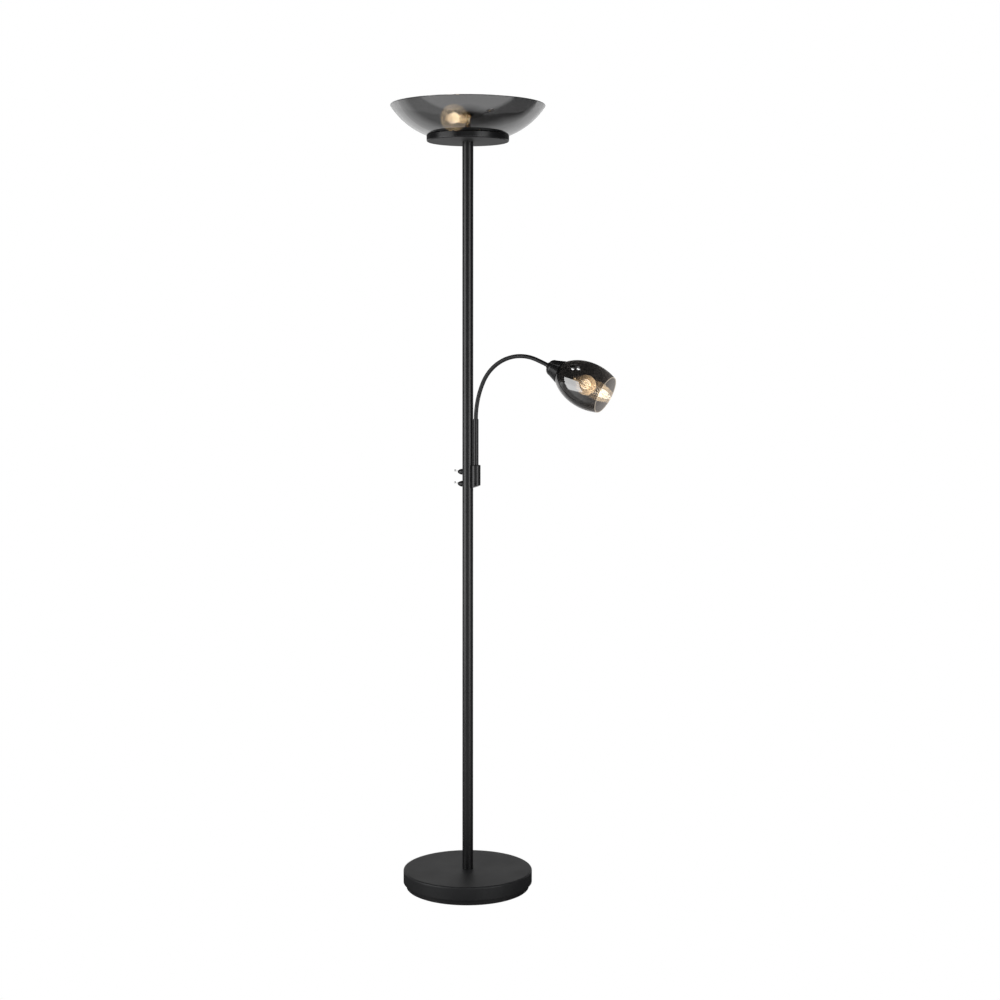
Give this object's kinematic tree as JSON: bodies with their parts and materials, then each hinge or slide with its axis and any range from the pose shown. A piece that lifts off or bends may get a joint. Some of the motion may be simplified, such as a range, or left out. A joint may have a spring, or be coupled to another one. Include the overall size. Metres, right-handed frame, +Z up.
{
  "type": "torchiere floor lamp",
  "caption": "Floor lamp: round weighted base, thin pole, wide smoked-glass uplight bowl and a tulip reading shade on a gooseneck, with toggle switches.",
  "frame": {"origin": "on the floor at the centre of the base, on the pole's axis", "axes": "+Z up along the pole; +X the side the gooseneck leans to; the switches face -X and the lead inlet faces +Y"},
  "size_m": [0.5302, 0.3494, 1.8],
  "materials": {
    "black_satin": "satin black powder coat",
    "black_base": "fine-textured matt black powder coat",
    "black_neck": "satin black sleeve over a flexible steel coil",
    "black_screw": "black oxide",
    "black_plastic": "moulded, semi-matt",
    "tray_plastic": "moulded, matt",
    "black_rubber": "matt",
    "felt": "felt",
    "cast_iron": "as cast",
    "zinc_steel": "zinc plated",
    "chrome": "polished",
    "brass": "drawn sheet",
    "bulb_cap_metal": "drawn sheet",
    "bulb_wire": "drawn wire",
    "filament": "warm yellow coating, lit",
    "socket_ceramic": "unglazed",
    "lead_jacket": "extruded",
    "smoke_glass": "smoked glass with a thin mirror coating",
    "clear_glass": "clear"
  },
  "bodies": {
    "stand": {"base_felt": "felt", "base_tray": "tray_plastic", "tray_screws": "zinc_steel", "base_weight": "cast_iron", "base_cover": "black_base", "inlet_grommet": "black_rubber", "pole_stud": "zinc_steel", "stud_nut": "zinc_steel", "stud_washer": "zinc_steel", "pole_foot_bush": "zinc_steel", "pole_couplers": "zinc_steel", "pole_top_bush": "zinc_steel", "pole_section_1": "black_satin", "pole_section_2": "black_satin", "pole_section_3": "black_satin", "pole_section_4": "black_satin", "arm_holder": "black_satin", "arm_holder_screw": "black_screw", "arm_sleeve": "black_satin", "neck_link_1": "black_neck", "pan": "black_satin", "torchiere_nipples": "zinc_steel", "seat_gasket": "black_rubber", "glass_bowl": "smoke_glass", "clamp_gasket": "black_rubber", "clamp_disc": "zinc_steel", "socket_bracket": "zinc_steel", "torchiere_nuts": "zinc_steel", "torchiere_socket_cap": "brass", "torchiere_socket_body": "brass", "torchiere_socket_core": "socket_ceramic", "torchiere_contacts": "brass", "torchiere_lead": "lead_jacket", "switch_bodies": "black_plastic", "switch_nuts": "black_satin", "switch_saddles": "black_plastic", "torchiere_bulb_glass": "clear_glass", "torchiere_bulb_cap": "bulb_cap_metal", "torchiere_bulb_stem": "clear_glass", "torchiere_bulb_filaments": "filament", "torchiere_bulb_wires": "bulb_wire"},
    "neck_b": {"neck_link_2": "black_neck"},
    "neck_c": {"neck_link_3": "black_neck"},
    "neck_d": {"neck_link_4": "black_neck"},
    "neck_e": {"neck_link_5": "black_neck"},
    "reading_head": {"neck_link_6": "black_neck", "head_ferrule": "black_satin", "head_nut": "zinc_steel", "shade_cap": "black_satin", "reading_socket": "black_plastic", "reading_contacts": "brass", "shade_ring": "black_plastic", "reading_shade": "smoke_glass", "reading_bulb_glass": "clear_glass", "reading_bulb_cap": "bulb_cap_metal", "reading_bulb_stem": "clear_glass", "reading_bulb_filaments": "filament", "reading_bulb_wires": "bulb_wire"},
    "toggle_upper": {"toggle_lever_upper": "chrome"},
    "toggle_lower": {"toggle_lever_lower": "chrome"}
  },
  "joints": [
    {"name": "neck_swing_low", "type": "hinge", "parent": "stand", "child": "neck_b", "pos_m": [0.02246, 0, 1.12191], "axis": [-0.9902, 0, 0.1395], "range_deg": [-30, 30]},
    {"name": "neck_bend_low", "type": "hinge", "parent": "neck_b", "child": "neck_c", "pos_m": [0.03708, 0, 1.17372], "axis": [0, 1, 0], "range_deg": [-25, 25]},
    {"name": "neck_swing_high", "type": "hinge", "parent": "neck_c", "child": "neck_d", "pos_m": [0.06941, 0, 1.2162], "axis": [-0.6105, 0, 0.792], "range_deg": [-30, 30]},
    {"name": "neck_bend_high", "type": "hinge", "parent": "neck_d", "child": "neck_e", "pos_m": [0.11873, 0, 1.23659], "axis": [0, 1, 0], "range_deg": [-25, 25]},
    {"name": "head_tilt", "type": "hinge", "parent": "neck_e", "child": "reading_head", "pos_m": [0.17161, 0, 1.22929], "axis": [0, 1, 0], "range_deg": [-30, 30]},
    {"name": "toggle_upper_rock", "type": "hinge", "parent": "stand", "child": "toggle_upper", "pos_m": [-0.022, 0, 0.9724], "axis": [0, -1, 0], "range_deg": [0, 26]},
    {"name": "toggle_lower_rock", "type": "hinge", "parent": "stand", "child": "toggle_lower", "pos_m": [-0.022, 0, 0.9448], "axis": [0, -1, 0], "range_deg": [0, 26]}
  ]
}
